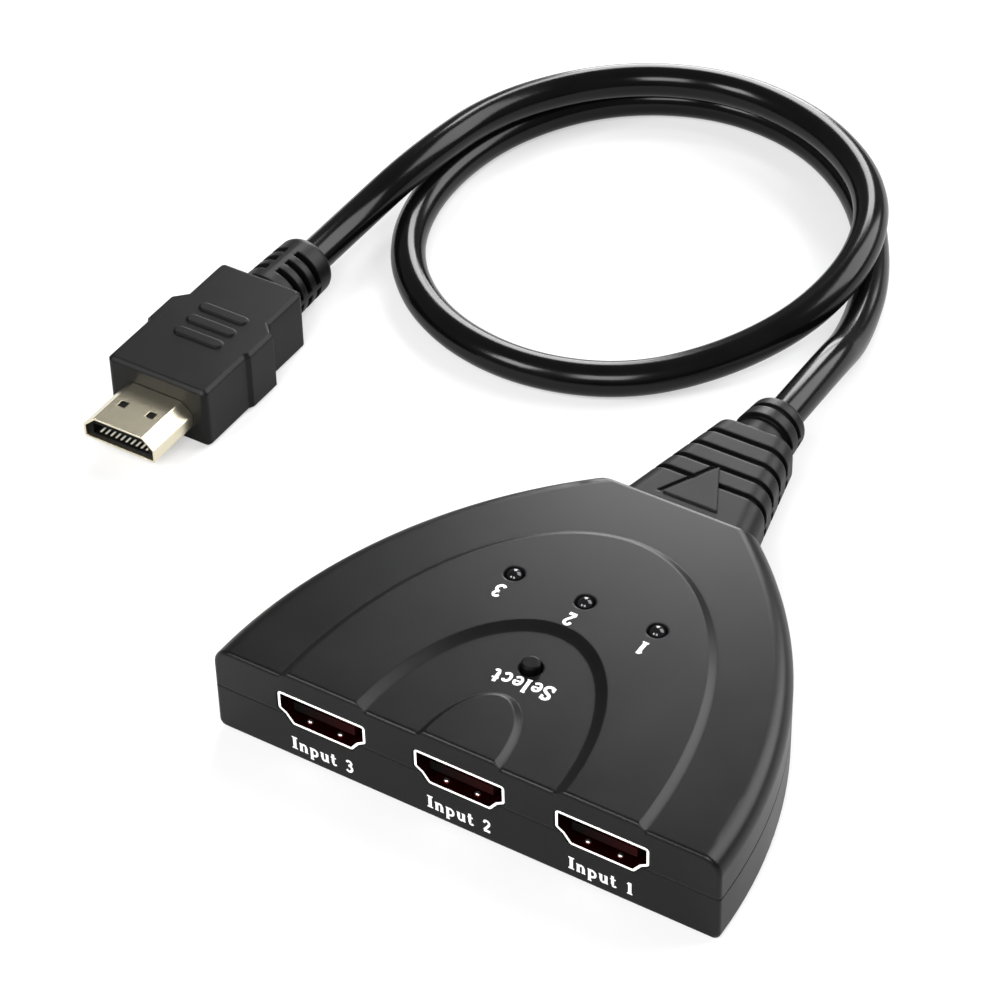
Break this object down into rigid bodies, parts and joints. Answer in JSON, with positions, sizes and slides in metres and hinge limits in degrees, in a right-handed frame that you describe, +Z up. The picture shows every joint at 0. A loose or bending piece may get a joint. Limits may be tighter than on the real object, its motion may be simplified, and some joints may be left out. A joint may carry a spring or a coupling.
{
  "type": "video switch box",
  "caption": "Wedge-shaped digital video switch with a front row of sockets, a select button and lamps on stepped arches, and a fixed looped lead ending in a flat plug.",
  "frame": {"origin": "middle of the housing's footprint on the table, in the plane of its flat underside", "axes": "+X to the right and +Y towards the lead when the sockets face the viewer, +Z up"},
  "size_m": [0.1416, 0.1762, 0.0169],
  "materials": {
    "black_plastic": "fine satin texture",
    "soft_black": "satin moulded flexible plastic",
    "cable_jacket": "glossy flexible plastic",
    "socket_plate": "bright nickel plate",
    "gold_plate": "pale gold plate, satin",
    "contact_gold": "gold plate",
    "dark_insulator": "dark plastic",
    "white_mould": "milky plastic",
    "button_plastic": "smooth",
    "lamp_lens": "smoked clear dome",
    "board": "green solder mask",
    "chip_plastic": "black moulded epoxy",
    "capacitor_ceramic": "tan ceramic",
    "tinned_lead": "tin plate",
    "switch_steel": "stainless sheet",
    "screw_steel": "black zinc plate",
    "foil_shield": "foil",
    "core_insulation": "coloured insulation"
  },
  "bodies": {
    "housing": {"top_cover": "black_plastic", "bottom_cover": "black_plastic", "strain_relief": "soft_black", "plug_body": "soft_black", "output_cable": "cable_jacket", "cable_jacket_end": "cable_jacket", "input_1_shell": "socket_plate", "input_2_shell": "socket_plate", "input_3_shell": "socket_plate", "plug_shell": "gold_plate", "input_1_contacts": "contact_gold", "input_2_contacts": "contact_gold", "input_3_contacts": "contact_gold", "plug_contacts": "contact_gold", "input_1_insulator": "dark_insulator", "input_2_insulator": "dark_insulator", "input_3_insulator": "dark_insulator", "plug_insulator": "dark_insulator", "plug_inner_mould": "white_mould", "led_1_lens": "lamp_lens", "led_2_lens": "lamp_lens", "led_3_lens": "lamp_lens", "circuit_board": "board", "switch_chip": "chip_plastic", "voltage_regulator": "chip_plastic", "select_switch_base": "chip_plastic", "resistors": "chip_plastic", "capacitors": "capacitor_ceramic", "switch_chip_leads": "tinned_lead", "regulator_leads": "tinned_lead", "led_leads": "tinned_lead", "select_switch_pins": "tinned_lead", "select_switch_frame": "switch_steel", "select_switch_dome": "switch_steel", "housing_screws": "screw_steel", "cable_shield": "foil_shield", "cable_cores": "core_insulation"},
    "button": {"select_button": "button_plastic"}
  },
  "joints": [
    {"name": "select_press", "type": "slide", "parent": "housing", "child": "button", "axis": [0, 0, -1], "range_m": [0, 0.00025], "stiffness_N_per_m": 4000, "deforming": ["select_switch_dome"]}
  ]
}
